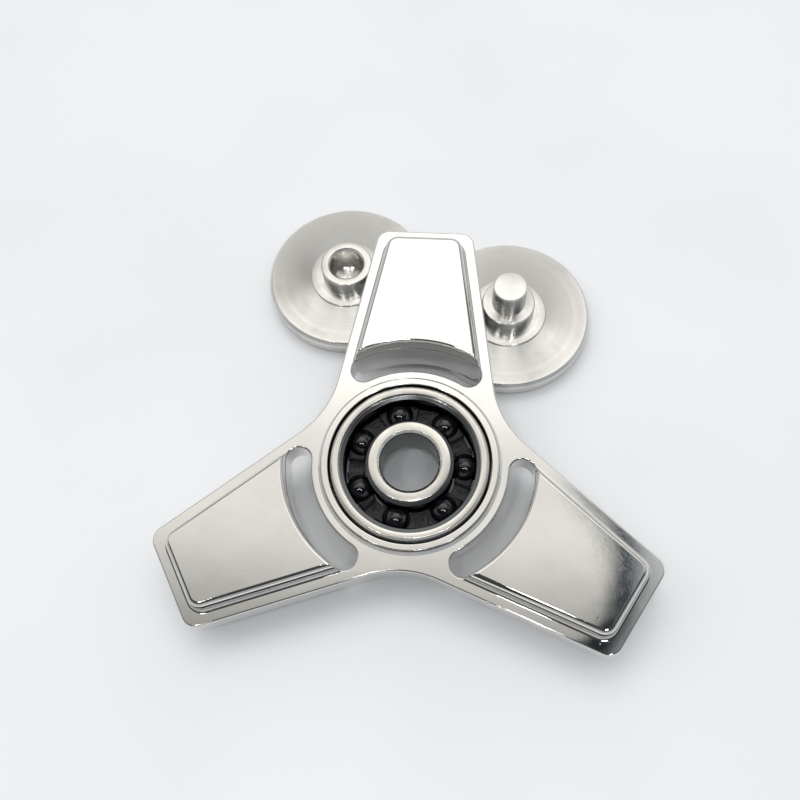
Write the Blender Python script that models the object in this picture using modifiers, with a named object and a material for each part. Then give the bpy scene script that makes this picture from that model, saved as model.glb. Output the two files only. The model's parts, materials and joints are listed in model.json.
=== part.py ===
"""Three-arm fidget spinner with an open hybrid bearing and two loose finger buttons.

The metal body lies on a table with its back arm propped on the two buttons, which
have been pulled off the bearing and stand next to that arm with their bosses up.

Metres, +Z up. The origin is on the table at the middle of the whole object's box.
"""
import math

import bmesh
import bpy
from mathutils import Vector

# ---------------------------------------------------------------- driving dimensions
# Bearing, standard 608 size with ceramic balls
BEARING_OUTER_DIAMETER = 0.022
BEARING_BORE = 0.008
BEARING_WIDTH = 0.007
BALL_DIAMETER = 0.003969
BALL_COUNT = 7
FIRST_BALL_ANGLE = math.radians(2.1)
BALL_CLEARANCE = 0.00008
OUTER_RACEWAY_DEPTH = 0.00043
INNER_RACEWAY_DEPTH = 0.00048
OUTER_RACE_CHAMFER = 0.0006
SHIELD_GROOVE_DEPTH = 0.00075
SHIELD_GROOVE_STEP = 0.0006
INNER_RACE_CHAMFER = 0.0004
INNER_SHOULDER_DEPTH = 0.0006
INNER_SHOULDER_STEP = 0.00045
INNER_SHOULDER_SLOPE = 0.0002

# Snap-in ball cage
CAGE_SIDE_CLEARANCE = 0.00035
CAGE_POCKET_CLEARANCE = 0.00012
CAGE_FLOOR = 0.0005
CAGE_CLAW_HEIGHT = 0.0009
CAGE_CLAW_THICKNESS = 0.0005
CAGE_GAP_FLOOR = 0.0010

# Spinner body
ARM_COUNT = 3
ARM_REACH = 0.0357
ARM_TAPER = 0.168
ARM_TIP_RADIUS = 0.002
CROTCH_RADIUS = 0.0135
PLATE_THICKNESS = 0.0043
PLATE_CHAMFER = 0.00025
SEAT_CLEARANCE = 0.0001
SEAT_CHAMFER = 0.00015
HUB_WALL = 0.0009
HUB_SLOPE = 0.0005
HUB_HEIGHT = 0.001
# Hub's hollow outer wall: share of the slope passed, and share of the height left
HUB_WALL_CURVE = ((0.2, 0.75), (0.5, 0.25))
HUB_TO_SLOT = 0.001
SLOT_WIDTH = 0.0035
SLOT_HALF_ANGLE = math.radians(29.0)
SLOT_TO_CROTCH = 0.00105
PAD_HEIGHT = 0.0024
PAD_MARGIN = 0.0017
PAD_TIP_RADIUS = 0.0018
PAD_INNER_RADIUS = 0.0013
PAD_SETBACK = 0.00015
PAD_EDGE_ROUND = 0.0009

# Finger buttons
BUTTON_DIAMETER = 0.0248
BUTTON_THICKNESS = 0.0028
BUTTON_CHAMFER = 0.0004
SHOULDER_DIAMETER = 0.0116
SHOULDER_HEIGHT = 0.0003
SHOULDER_CHAMFER = 0.00015
BOSS_CLEARANCE = 0.00008
BOSS_LENGTH = 0.003
BOSS_CHAMFER = 0.0002
STUD_DIAMETER = 0.0049
STUD_LENGTH = 0.0044
STUD_CHAMFER = 0.00015
SOCKET_CLEARANCE = 0.00008
SOCKET_CHAMFER = 0.0003
SOCKET_SPARE_DEPTH = 0.0004

# How the pieces lie on the table
REST_GAP = 0.0003
DISC_GAP = 0.00078
BOSS_TO_ARM = 0.0004
BUTTONS_FROM_TIP = 0.0059
BUTTONS_ASIDE = 0.0003
BUTTONS_TURN = math.radians(-12.6)

# Colour, roughness and metallic of each finish
POLISHED_STEEL = ((0.80, 0.79, 0.77), 0.12, 1.0)
TURNED_STEEL = ((0.78, 0.77, 0.74), 0.2, 1.0)
GROUND_STEEL = ((0.72, 0.71, 0.68), 0.28, 1.0)
BLACK_CERAMIC = ((0.012, 0.013, 0.016), 0.06, 0.0)
CAGE_PLASTIC = ((0.03, 0.03, 0.035), 0.42, 0.0)

# Fineness of round shapes
TURNED_STEPS = 48
GROOVE_STEPS = 6
BALL_SEGMENTS = 16
BALL_RINGS = 10
CORNER_STEPS = 5
MERGE = 0.000001
FLAT_ANGLE = math.radians(0.5)
BEVEL_ANGLE = math.radians(50.0)
SHARP_ANGLE = math.radians(35.0)

# ---------------------------------------------------------------- derived dimensions
BEARING_RADIUS = BEARING_OUTER_DIAMETER / 2
PITCH_RADIUS = (BEARING_OUTER_DIAMETER + BEARING_BORE) / 4
BALL_RADIUS = BALL_DIAMETER / 2
GROOVE_RADIUS = BALL_RADIUS + BALL_CLEARANCE
OUTER_LAND_RADIUS = PITCH_RADIUS + BALL_RADIUS - OUTER_RACEWAY_DEPTH
OUTER_FACE_RADIUS = OUTER_LAND_RADIUS + SHIELD_GROOVE_STEP
INNER_LAND_RADIUS = PITCH_RADIUS - BALL_RADIUS + INNER_RACEWAY_DEPTH
INNER_FACE_RADIUS = INNER_LAND_RADIUS - INNER_SHOULDER_STEP

POCKET_RADIUS = BALL_RADIUS + CAGE_POCKET_CLEARANCE
CAGE_BASE_HEIGHT = POCKET_RADIUS + CAGE_FLOOR
BALL_SPACING = 2 * PITCH_RADIUS * math.sin(math.pi / BALL_COUNT)
CAGE_GAP_WIDTH = BALL_SPACING - 2 * POCKET_RADIUS - 2 * CAGE_CLAW_THICKNESS

SEAT_RADIUS = BEARING_RADIUS + SEAT_CLEARANCE
HUB_TOP_RADIUS = SEAT_RADIUS + HUB_WALL
HUB_BASE_RADIUS = HUB_TOP_RADIUS + HUB_SLOPE
SLOT_INNER_RADIUS = HUB_BASE_RADIUS + HUB_TO_SLOT
SLOT_OUTER_RADIUS = SLOT_INNER_RADIUS + SLOT_WIDTH
PAD_INNER_EDGE_RADIUS = SLOT_OUTER_RADIUS + PAD_SETBACK
ARM_STEP = 2 * math.pi / ARM_COUNT
CROTCH_DIRECTION = ARM_STEP / 2
SIDE_LENGTH_FACTOR = math.hypot(1.0, ARM_TAPER)
SIDE_NORMAL = math.atan(ARM_TAPER)
NECK_RADIUS = SLOT_INNER_RADIUS + SLOT_TO_CROTCH
NECK_FACTOR = math.sin(CROTCH_DIRECTION) + ARM_TAPER * math.cos(CROTCH_DIRECTION)
ROOT_HALF_WIDTH = NECK_RADIUS * NECK_FACTOR - CROTCH_RADIUS * (SIDE_LENGTH_FACTOR - NECK_FACTOR)
HALF_THICKNESS = PLATE_THICKNESS / 2 + PAD_HEIGHT

BOSS_RADIUS = BEARING_BORE / 2 - BOSS_CLEARANCE
BOSS_TOP = BUTTON_THICKNESS + SHOULDER_HEIGHT + BOSS_LENGTH
STUD_RADIUS = STUD_DIAMETER / 2
SOCKET_RADIUS = STUD_RADIUS + SOCKET_CLEARANCE
SOCKET_FLOOR = BOSS_TOP - STUD_LENGTH - SOCKET_SPARE_DEPTH


# ---------------------------------------------------------------- points and outlines
def polar(radius, angle, centre=(0.0, 0.0)):
    return (centre[0] + radius * math.cos(angle), centre[1] + radius * math.sin(angle))


def arc(centre, radius, start, end, steps):
    """Points on an arc, both ends included."""
    return [polar(radius, start + (end - start) * i / steps, centre) for i in range(steps + 1)]


def turn(points, angle):
    cosine = math.cos(angle)
    sine = math.sin(angle)
    return [(x * cosine - y * sine, x * sine + y * cosine) for x, y in points]


def side_x(y, inset):
    """Half width of an arm at distance y from the axis, less an inset square to its side."""
    return ROOT_HALF_WIDTH - ARM_TAPER * y - inset * SIDE_LENGTH_FACTOR


def mirrored(points):
    """The same points on the arm's other side, in the opposite order."""
    return [(-x, y) for x, y in reversed(points)]


def tip_corner(inset, radius):
    """Rounded corner between an arm's right side and its tip."""
    y = ARM_REACH - inset - radius
    return arc((side_x(y, inset + radius), y), radius, SIDE_NORMAL, math.pi / 2, CORNER_STEPS)


def arm_outline():
    """One arm along +Y, from the neck on its right to just before the neck on its left."""
    crotch_angle = math.pi / 2 - CROTCH_DIRECTION
    centre = polar(NECK_RADIUS + CROTCH_RADIUS, crotch_angle)
    start = math.pi + crotch_angle
    crotch = arc(centre, CROTCH_RADIUS, start, math.pi + SIDE_NORMAL, CORNER_STEPS)
    right = crotch + tip_corner(0.0, ARM_TIP_RADIUS)
    return right + mirrored(right)[:-1]


def body_outline():
    outline = []
    for index in range(ARM_COUNT):
        outline += turn(arm_outline(), index * ARM_STEP)
    return outline


def slot_outline(arm_angle):
    """Crescent slot around the hub, with round ends."""
    middle = (SLOT_INNER_RADIUS + SLOT_OUTER_RADIUS) / 2
    along = math.pi / 2
    first = along - SLOT_HALF_ANGLE
    last = along + SLOT_HALF_ANGLE
    outer = arc((0.0, 0.0), SLOT_OUTER_RADIUS, first, last, 2 * CORNER_STEPS)
    inner = arc((0.0, 0.0), SLOT_INNER_RADIUS, last, first, 2 * CORNER_STEPS)
    far_end = arc(polar(middle, last), SLOT_WIDTH / 2, last, last + math.pi, CORNER_STEPS)
    near_end = arc(polar(middle, first), SLOT_WIDTH / 2, first + math.pi, first + 2 * math.pi, CORNER_STEPS)
    return turn(outer + far_end[1:-1] + inner + near_end[1:-1], arm_angle)


def pad_inner_corner_centre():
    """Centre of the rounded corner between a pad's right side and its hollow inner edge."""
    reach = PAD_INNER_EDGE_RADIUS + PAD_INNER_RADIUS
    width = side_x(0.0, PAD_MARGIN + PAD_INNER_RADIUS)
    a = 1.0 + ARM_TAPER ** 2
    b = -2.0 * ARM_TAPER * width
    c = width ** 2 - reach ** 2
    y = (-b + math.sqrt(b * b - 4.0 * a * c)) / (2.0 * a)
    return (width - ARM_TAPER * y, y)


def pad_outline(arm_angle):
    """Raised pad: straight sides, rounded tip corners and a hollow edge along the slot."""
    centre = pad_inner_corner_centre()
    bearing = math.atan2(centre[1], centre[0])
    inner_corner = arc(centre, PAD_INNER_RADIUS, bearing - math.pi, SIDE_NORMAL, CORNER_STEPS)
    right = inner_corner + tip_corner(PAD_MARGIN, PAD_TIP_RADIUS)
    hollow = arc((0.0, 0.0), PAD_INNER_EDGE_RADIUS, math.pi - bearing, bearing, 2 * CORNER_STEPS)
    return turn(right + mirrored(right) + hollow[1:-1], arm_angle)


# ---------------------------------------------------------------- scene helpers
def clear_scene():
    for obj in list(bpy.data.objects):
        bpy.data.objects.remove(obj, do_unlink=True)


def new_collection(name):
    collection = bpy.data.collections.new(name)
    bpy.context.scene.collection.children.link(collection)
    return collection


def new_empty(collection, name, parent=None, location=(0.0, 0.0, 0.0)):
    empty = bpy.data.objects.new(name, None)
    collection.objects.link(empty)
    empty.parent = parent
    empty.location = location
    return empty


def new_object(collection, name, mesh, parent=None, location=(0.0, 0.0, 0.0)):
    obj = bpy.data.objects.new(name, mesh)
    collection.objects.link(obj)
    obj.parent = parent
    obj.location = location
    return obj


def new_material(name, colour, roughness, metallic):
    material = bpy.data.materials.new(name)
    material.use_nodes = True
    shader = material.node_tree.nodes["Principled BSDF"]
    shader.inputs["Base Color"].default_value = (*colour, 1.0)
    shader.inputs["Roughness"].default_value = roughness
    shader.inputs["Metallic"].default_value = metallic
    return material


def dress(obj, finish):
    """Give a piece its own material and smooth shading up to its real edges."""
    obj.data.materials.append(new_material(obj.name + "_finish", *finish))
    obj.data.shade_smooth()
    obj.data.set_sharp_from_angle(angle=SHARP_ANGLE)
    return obj


def make_cutter(obj):
    obj.hide_render = True
    obj.display_type = "WIRE"
    return obj


def turned_mesh(name, profile, closed):
    """Half section in the XZ plane, given as radius and height, for a Screw modifier."""
    mesh = bpy.data.meshes.new(name)
    edges = [(i, i + 1) for i in range(len(profile) - 1)]
    if closed:
        edges.append((len(profile) - 1, 0))
    mesh.from_pydata([(radius, 0.0, height) for radius, height in profile], edges, [])
    return mesh


def turned_piece(collection, name, profile, closed=False, parent=None, location=(0.0, 0.0, 0.0)):
    """A lathe-turned piece: its section runs down the outer side, top to bottom."""
    obj = new_object(collection, name, turned_mesh(name, profile, closed), parent, location)
    screw = obj.modifiers.new("turn", "SCREW")
    screw.steps = TURNED_STEPS
    screw.render_steps = TURNED_STEPS
    screw.use_merge_vertices = True
    screw.merge_threshold = MERGE
    screw.use_smooth_shade = True
    return obj


def flat_piece(collection, name, outlines, half_thickness, parent=None):
    """Outlines filled and extruded both ways, as one closed mesh."""
    curve = bpy.data.curves.new(name + "_outline", "CURVE")
    curve.dimensions = "2D"
    curve.fill_mode = "BOTH"
    curve.extrude = half_thickness
    for outline in outlines:
        spline = curve.splines.new("POLY")
        spline.points.add(len(outline) - 1)
        for point, (x, y) in zip(spline.points, outline):
            point.co = (x, y, 0.0, 1.0)
        spline.use_cyclic_u = True
    guide = new_object(collection, name + "_outline", curve, parent)
    bpy.context.view_layer.update()
    evaluated = guide.evaluated_get(bpy.context.evaluated_depsgraph_get())
    mesh = bpy.data.meshes.new_from_object(evaluated)
    weld(mesh)
    obj = new_object(collection, name, mesh, parent)
    obj.matrix_world = guide.matrix_world.copy()
    bpy.data.objects.remove(guide, do_unlink=True)
    return obj


def weld(mesh):
    """Join a filled curve's caps to its walls and its flat triangles to larger faces."""
    work = bmesh.new()
    work.from_mesh(mesh)
    bmesh.ops.remove_doubles(work, verts=work.verts, dist=MERGE)
    bmesh.ops.dissolve_limit(work, angle_limit=FLAT_ANGLE, verts=work.verts, edges=work.edges)
    work.to_mesh(mesh)
    work.free()


def add_bevel(obj, width, segments):
    bevel = obj.modifiers.new("edges", "BEVEL")
    bevel.width = width
    bevel.segments = segments
    bevel.limit_method = "ANGLE"
    bevel.angle_limit = BEVEL_ANGLE
    bevel.use_clamp_overlap = False


def add_boolean(obj, other, operation):
    boolean = obj.modifiers.new(operation.lower() + "_" + other.name, "BOOLEAN")
    boolean.operation = operation
    boolean.solver = "EXACT"
    boolean.use_self = True
    boolean.object = other


# ---------------------------------------------------------------- body
def hub_profile():
    """Ring around the bearing seat, raised above the plate on both faces."""
    top = PLATE_THICKNESS / 2 + HUB_HEIGHT
    foot = PLATE_THICKNESS / 2
    upper = [(SEAT_RADIUS + SEAT_CHAMFER, top), (HUB_TOP_RADIUS, top)]
    for passed, left in HUB_WALL_CURVE:
        upper.append((HUB_TOP_RADIUS + HUB_SLOPE * passed, foot + HUB_HEIGHT * left))
    upper.append((HUB_BASE_RADIUS, foot - PLATE_CHAMFER))
    lower = [(radius, -height) for radius, height in reversed(upper)]
    seat_edge = top - SEAT_CHAMFER
    return upper + lower + [(SEAT_RADIUS, -seat_edge), (SEAT_RADIUS, seat_edge)]


def make_body(collection, cutters, parent):
    slots = [slot_outline(index * ARM_STEP) for index in range(ARM_COUNT)]
    hole = arc((0.0, 0.0), (SEAT_RADIUS + HUB_BASE_RADIUS) / 2, 0.0, 2 * math.pi, TURNED_STEPS)[:-1]
    outlines = [body_outline(), hole] + slots
    body = flat_piece(collection, "spinner_body", outlines, PLATE_THICKNESS / 2, parent)
    add_bevel(body, PLATE_CHAMFER, 1)
    for index in range(ARM_COUNT):
        outline = pad_outline(index * ARM_STEP)
        pad = flat_piece(cutters, f"pad_form_{index + 1}", [outline], HALF_THICKNESS, parent)
        add_bevel(make_cutter(pad), PAD_EDGE_ROUND, 3)
        add_boolean(body, pad, "UNION")
    hub = turned_piece(cutters, "hub_form", hub_profile(), True, parent)
    add_boolean(body, make_cutter(hub), "UNION")
    return dress(body, POLISHED_STEEL)


# ---------------------------------------------------------------- bearing
def groove(land_radius):
    """Section of a raceway from its top edge to its bottom edge, on its land's side."""
    height = math.sqrt(GROOVE_RADIUS ** 2 - (land_radius - PITCH_RADIUS) ** 2)
    top = math.atan2(height, land_radius - PITCH_RADIUS)
    bottom = -top if land_radius > PITCH_RADIUS else 2 * math.pi - top
    return arc((PITCH_RADIUS, 0.0), GROOVE_RADIUS, top, bottom, GROOVE_STEPS)


def outer_race_profile():
    half = BEARING_WIDTH / 2
    shelf = half - SHIELD_GROOVE_DEPTH
    outer = [
        (BEARING_RADIUS - OUTER_RACE_CHAMFER, half),
        (BEARING_RADIUS, half - OUTER_RACE_CHAMFER),
        (BEARING_RADIUS, OUTER_RACE_CHAMFER - half),
        (BEARING_RADIUS - OUTER_RACE_CHAMFER, -half),
    ]
    lower = [(OUTER_FACE_RADIUS, -half), (OUTER_FACE_RADIUS, -shelf), (OUTER_LAND_RADIUS, -shelf)]
    raceway = list(reversed(groove(OUTER_LAND_RADIUS)))
    upper = [(radius, -height) for radius, height in reversed(lower)]
    return outer + lower + raceway + upper


def inner_race_profile():
    half = BEARING_WIDTH / 2
    step = half - INNER_SHOULDER_DEPTH
    slope = step - INNER_SHOULDER_SLOPE
    upper = [(INNER_FACE_RADIUS, half), (INNER_FACE_RADIUS, step), (INNER_LAND_RADIUS, slope)]
    raceway = groove(INNER_LAND_RADIUS)
    lower = [(radius, -height) for radius, height in reversed(upper)]
    bore = [
        (BEARING_BORE / 2 + INNER_RACE_CHAMFER, -half),
        (BEARING_BORE / 2, INNER_RACE_CHAMFER - half),
        (BEARING_BORE / 2, half - INNER_RACE_CHAMFER),
        (BEARING_BORE / 2 + INNER_RACE_CHAMFER, half),
    ]
    return upper + raceway + lower + bore


def make_races(collection, parent, inner_parent):
    outer = turned_piece(collection, "outer_race", outer_race_profile(), True, parent)
    inner = turned_piece(collection, "inner_race", inner_race_profile(), True, inner_parent)
    for race in (outer, inner):
        dress(race, GROUND_STEEL)


def ball_mesh(name, radius):
    mesh = bpy.data.meshes.new(name)
    work = bmesh.new()
    bmesh.ops.create_uvsphere(work, u_segments=BALL_SEGMENTS, v_segments=BALL_RINGS, radius=radius)
    work.to_mesh(mesh)
    work.free()
    return mesh


def ball_angle(index):
    return FIRST_BALL_ANGLE + 2 * math.pi * index / BALL_COUNT


def make_balls(collection, parent):
    for index in range(BALL_COUNT):
        name = f"ball_{index + 1}"
        place = (*polar(PITCH_RADIUS, ball_angle(index)), 0.0)
        ball = new_object(collection, name, ball_mesh(name, BALL_RADIUS), parent, place)
        dress(ball, BLACK_CERAMIC)


def cage_profile():
    """Plain ring that the pockets and gaps are cut from."""
    inner = INNER_LAND_RADIUS + CAGE_SIDE_CLEARANCE
    outer = OUTER_LAND_RADIUS - CAGE_SIDE_CLEARANCE
    right = [(outer, CAGE_CLAW_HEIGHT), (outer, -CAGE_BASE_HEIGHT)]
    return right + [(inner, -CAGE_BASE_HEIGHT), (inner, CAGE_CLAW_HEIGHT)]


def gap_cutter(cutters, parent, index):
    """Box that parts two claws between neighbouring balls."""
    name = f"cage_gap_form_{index + 1}"
    top = CAGE_CLAW_HEIGHT + CAGE_GAP_WIDTH
    height = top + CAGE_GAP_FLOOR
    mesh = bpy.data.meshes.new(name)
    work = bmesh.new()
    bmesh.ops.create_cube(work, size=1.0)
    bmesh.ops.scale(work, verts=work.verts, vec=Vector((PITCH_RADIUS, CAGE_GAP_WIDTH, height)))
    work.to_mesh(mesh)
    work.free()
    angle = ball_angle(index + 0.5)
    place = (*polar(PITCH_RADIUS, angle), top - height / 2)
    cutter = new_object(cutters, name, mesh, parent, place)
    cutter.rotation_euler = (0.0, 0.0, angle)
    return make_cutter(cutter)


def make_cage(collection, cutters, parent):
    cage = turned_piece(collection, "ball_cage", cage_profile(), True, parent)
    for index in range(BALL_COUNT):
        name = f"cage_pocket_form_{index + 1}"
        place = (*polar(PITCH_RADIUS, ball_angle(index)), 0.0)
        form = new_object(cutters, name, ball_mesh(name, POCKET_RADIUS), parent, place)
        form.rotation_euler = (0.0, 0.0, ball_angle(index))
        add_boolean(cage, make_cutter(form), "DIFFERENCE")
        add_boolean(cage, gap_cutter(cutters, parent, index), "DIFFERENCE")
    dress(cage, CAGE_PLASTIC)


# ---------------------------------------------------------------- buttons
def button_rim_profile():
    """Common to both buttons: boss, shoulder and finger disc, down to the finger face."""
    radius = BUTTON_DIAMETER / 2
    shoulder = SHOULDER_DIAMETER / 2
    shoulder_top = BUTTON_THICKNESS + SHOULDER_HEIGHT
    return [
        (BOSS_RADIUS - BOSS_CHAMFER, BOSS_TOP),
        (BOSS_RADIUS, BOSS_TOP - BOSS_CHAMFER),
        (BOSS_RADIUS, shoulder_top),
        (shoulder - SHOULDER_CHAMFER, shoulder_top),
        (shoulder, shoulder_top - SHOULDER_CHAMFER),
        (shoulder, BUTTON_THICKNESS),
        (radius - BUTTON_CHAMFER, BUTTON_THICKNESS),
        (radius, BUTTON_THICKNESS - BUTTON_CHAMFER),
        (radius, BUTTON_CHAMFER),
        (radius - BUTTON_CHAMFER, 0.0),
        (0.0, 0.0),
    ]


def stud_profile():
    top = BOSS_TOP + STUD_LENGTH
    return [
        (0.0, top),
        (STUD_RADIUS - STUD_CHAMFER, top),
        (STUD_RADIUS, top - STUD_CHAMFER),
        (STUD_RADIUS, BOSS_TOP),
    ]


def socket_profile():
    return [
        (0.0, SOCKET_FLOOR),
        (SOCKET_RADIUS, SOCKET_FLOOR),
        (SOCKET_RADIUS, BOSS_TOP - SOCKET_CHAMFER),
        (SOCKET_RADIUS + SOCKET_CHAMFER, BOSS_TOP),
    ]


def button_place(side):
    """Place on the table of the left (-1) or right (1) button, from below the bearing.

    The discs clear each other and the bosses clear the back arm's sides.
    """
    middle = (BUTTONS_ASIDE, ARM_REACH - BUTTONS_FROM_TIP)
    beside_arm = (side_x(middle[1], 0.0) + BOSS_RADIUS + BOSS_TO_ARM) / math.cos(BUTTONS_TURN)
    distance = max((BUTTON_DIAMETER + DISC_GAP) / 2, beside_arm)
    return polar(side * distance, BUTTONS_TURN, middle)


def make_buttons(collection, table):
    shapes = {
        "female_button": (socket_profile(), button_place(-1)),
        "male_button": (stud_profile(), button_place(1)),
    }
    for name, (centre_profile, place) in shapes.items():
        profile = centre_profile + button_rim_profile()
        button = turned_piece(collection, name, profile, False, table, (*place, 0.0))
        dress(button, TURNED_STEEL)


# ---------------------------------------------------------------- assembly
def front_contact():
    """How far in front of the axis the two front pads touch the table."""
    corner = tip_corner(PAD_MARGIN + PAD_EDGE_ROUND, PAD_TIP_RADIUS - PAD_EDGE_ROUND)
    return -min(y for _, y in turn(mirrored(corner), ARM_STEP))


def back_contact():
    """How far behind the axis the back pad's flat underside first meets a disc."""
    disc_edge = button_place(1)[1] - BUTTON_DIAMETER / 2
    return max(PAD_INNER_EDGE_RADIUS + PAD_EDGE_ROUND, disc_edge)


def rest_tilt():
    """Tilt about X that lifts the back pad to just above the lying buttons."""
    return math.atan((BUTTON_THICKNESS + REST_GAP) / (front_contact() + back_contact()))


def centre_height(tilt):
    return front_contact() * math.sin(tilt) + HALF_THICKNESS * math.cos(tilt)


def centre_on_origin(table, collection):
    """Move the whole object so that the middle of its box stands over the origin."""
    bpy.context.view_layer.update()
    graph = bpy.context.evaluated_depsgraph_get()
    corners = []
    for obj in collection.objects:
        if obj.type == "MESH":
            piece = obj.evaluated_get(graph)
            corners += [piece.matrix_world @ vertex.co for vertex in piece.data.vertices]
    for axis in (0, 1):
        values = [corner[axis] for corner in corners]
        table.location[axis] = -(min(values) + max(values)) / 2
    bpy.context.view_layer.update()


def main():
    clear_scene()
    parts = new_collection("fidget_spinner")
    cutters = new_collection("cutters")
    table = new_empty(parts, "table_frame")
    tilt = rest_tilt()
    bearing = new_empty(parts, "bearing_centre", table, (0.0, 0.0, centre_height(tilt)))
    bearing.rotation_euler = (tilt, 0.0, 0.0)
    inner = new_empty(parts, "inner_race_axis", bearing)
    cage = new_empty(parts, "cage_axis", bearing)
    bpy.context.view_layer.update()
    make_body(parts, cutters, bearing)
    make_races(parts, bearing, inner)
    make_cage(parts, cutters, cage)
    make_balls(parts, cage)
    make_buttons(parts, table)
    centre_on_origin(table, parts)


main()
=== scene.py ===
"""Polished three-arm fidget spinner lying on a pale table, propped on its two buttons.

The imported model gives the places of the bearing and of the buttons. Each sub-assembly is
a class that holds its sizes in metres, models its pieces with bmesh operators and dresses
them with procedural finishes.
"""

import json
import logging
import math
from collections.abc import Iterable
from dataclasses import dataclass, field
from enum import Enum
from typing import Any, Union

import bmesh
import bpy
from mathutils import Matrix, Vector


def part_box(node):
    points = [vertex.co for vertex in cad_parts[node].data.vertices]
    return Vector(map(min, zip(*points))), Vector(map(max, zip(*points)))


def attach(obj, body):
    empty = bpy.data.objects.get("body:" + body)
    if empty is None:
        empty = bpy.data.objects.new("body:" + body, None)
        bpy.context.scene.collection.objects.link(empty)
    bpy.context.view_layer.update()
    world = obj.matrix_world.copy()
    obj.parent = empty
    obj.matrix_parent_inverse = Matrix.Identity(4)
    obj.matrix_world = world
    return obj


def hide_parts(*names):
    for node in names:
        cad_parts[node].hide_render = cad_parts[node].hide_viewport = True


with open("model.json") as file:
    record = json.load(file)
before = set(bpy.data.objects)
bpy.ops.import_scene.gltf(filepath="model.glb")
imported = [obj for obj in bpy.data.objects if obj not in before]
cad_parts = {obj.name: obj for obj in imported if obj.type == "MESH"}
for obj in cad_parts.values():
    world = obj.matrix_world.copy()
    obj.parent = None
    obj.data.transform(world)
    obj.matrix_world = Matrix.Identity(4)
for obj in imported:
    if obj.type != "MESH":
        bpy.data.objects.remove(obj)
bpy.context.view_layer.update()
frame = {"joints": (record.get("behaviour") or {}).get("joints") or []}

LOG = logging.getLogger("fidget_spinner")
MM = 0.001
FULL_TURN = 2 * math.pi
MERGE = 1e-7
NEAR = 0.01 * MM
SHARP_ANGLE = math.radians(38.0)
CREASE_ANGLE = math.radians(30.0)
SQUARE_ANGLE = math.radians(80.0)
FLAT_ANGLE = math.radians(0.5)
WIDE_TURN = 192
SMALL_TURN = 144
SOFT_LAYERS = (3.0, 0.6)
UP = (0.0, 0.0, 1.0)
NOWHERE = (0.0, 0.0, 0.0)

Colour = tuple[float, float, float]
Span = tuple[float, float]
Number = Union[float, "Signal"]


# ---------------------------------------------------------------- shader writing
class Signal:
    """A value or vector socket that shader maths is written with."""

    def __init__(self, kit: "NodeWriter", socket: bpy.types.NodeSocket) -> None:
        """Wrap a socket.

        Args:
            kit: The writer of the tree that the socket belongs to.
            socket: The output socket.
        """
        self.kit = kit
        self.socket = socket

    def __add__(self, other: Number) -> "Signal":
        """Sum of two values."""
        return self.kit.maths("ADD", self, other)

    def __radd__(self, other: Number) -> "Signal":
        """Sum with a number on the left."""
        return self.kit.maths("ADD", other, self)

    def __sub__(self, other: Number) -> "Signal":
        """Difference of two values."""
        return self.kit.maths("SUBTRACT", self, other)

    def __rsub__(self, other: Number) -> "Signal":
        """Difference with a number on the left."""
        return self.kit.maths("SUBTRACT", other, self)

    def __mul__(self, other: Number) -> "Signal":
        """Product of two values."""
        return self.kit.maths("MULTIPLY", self, other)

    def __rmul__(self, other: Number) -> "Signal":
        """Product with a number on the left."""
        return self.kit.maths("MULTIPLY", other, self)

    def __pow__(self, other: Number) -> "Signal":
        """Power of a value."""
        return self.kit.maths("POWER", self, other)

    def clamp(self) -> "Signal":
        """The value kept between 0 and 1."""
        return self.kit.node("ShaderNodeClamp", {}, {"Value": self}, "Result")

    def above(self, edge: float) -> "Signal":
        """1 where the value is above an edge, and 0 elsewhere."""
        return self.kit.maths("GREATER_THAN", self, edge)

    def between(self, low: float, high: float) -> "Signal":
        """The value spread from 0 at low to 1 at high, and kept between them."""
        settings = {"interpolation_type": "SMOOTHSTEP"}
        inputs = {"Value": self, "From Min": low, "From Max": high}
        return self.kit.node("ShaderNodeMapRange", settings, inputs, "Result")


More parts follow.
